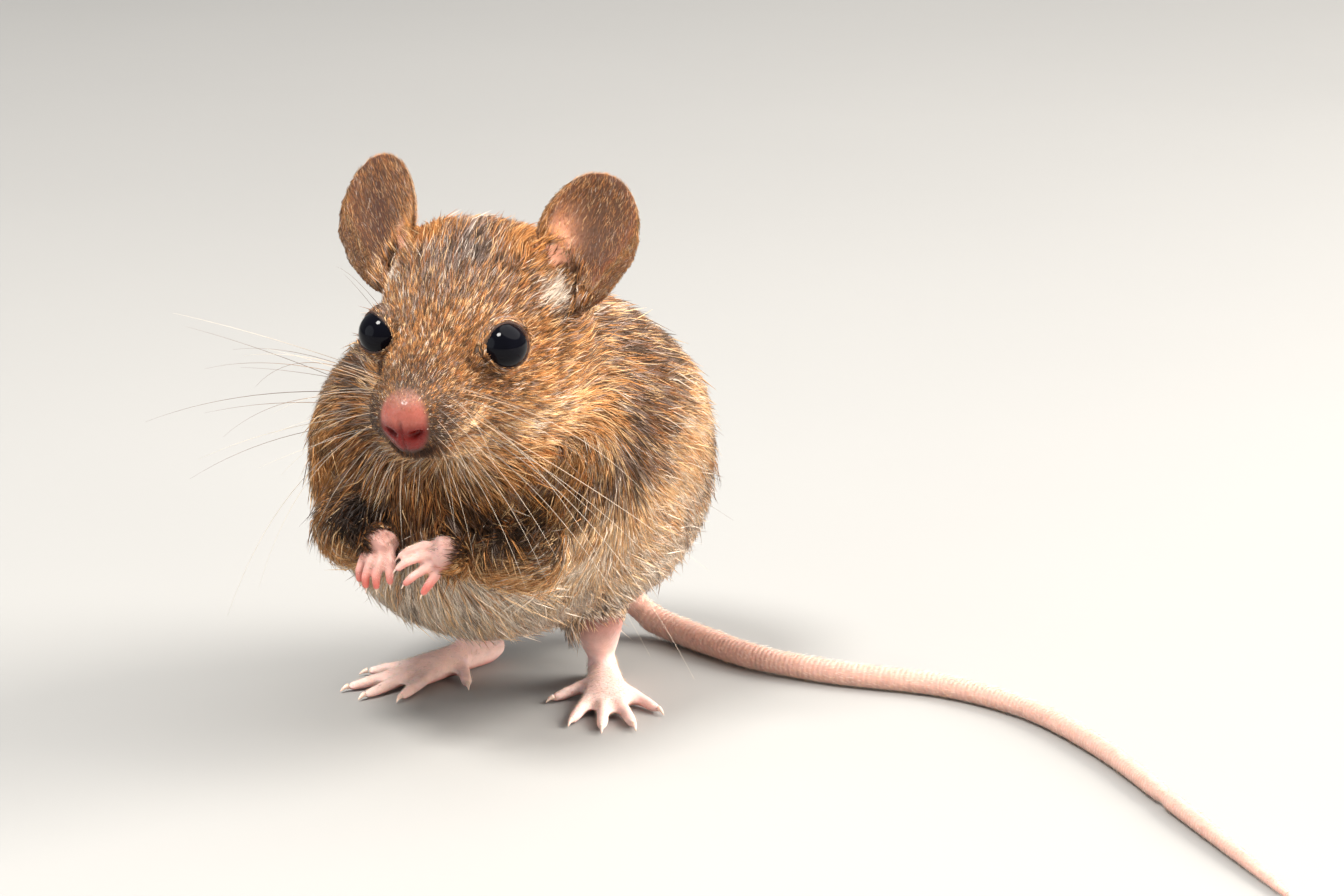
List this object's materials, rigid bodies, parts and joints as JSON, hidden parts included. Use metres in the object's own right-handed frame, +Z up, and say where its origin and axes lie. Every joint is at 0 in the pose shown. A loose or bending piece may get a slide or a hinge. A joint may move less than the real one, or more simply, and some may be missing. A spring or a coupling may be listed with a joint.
{
  "type": "wood mouse",
  "caption": "Life-size wood mouse sitting on its hind feet, forepaws held before its chest, ears up and long tail laid on the floor to its left.",
  "frame": {"origin": "on the floor, under the middle of the whole model's bounding box, tail included", "axes": "+Z up; the mouse faces -Y, its left side is towards +X, and its tail lies along +X"},
  "size_m": [0.1212, 0.069, 0.0639],
  "materials": {
    "coat": "short agouti fur, brown above, orange-buff on the flanks and off-white below",
    "bare_skin": "thin pink skin with fine pale hairs",
    "ear_skin": "thin brown skin with fine hairs, pink inside",
    "eye": "wet glossy black"
  },
  "bodies": {
    "root": {"nose": "bare_skin", "eye_left": "eye", "eye_right": "eye", "lower_jaw": "coat", "head": "coat", "upper_arm_left": "coat", "upper_arm_right": "coat", "thigh_left": "coat", "thigh_right": "coat", "neck": "coat", "trunk": "coat", "ear_left": "ear_skin", "ear_right": "ear_skin", "hand_left": "bare_skin", "hand_right": "bare_skin", "forearm_left": "coat", "forearm_right": "coat", "foot_left": "bare_skin", "foot_right": "bare_skin", "shank_left": "coat", "shank_right": "coat", "tail_1": "bare_skin", "tail_2": "bare_skin", "tail_3": "bare_skin", "tail_4": "bare_skin"}
  },
  "joints": []
}
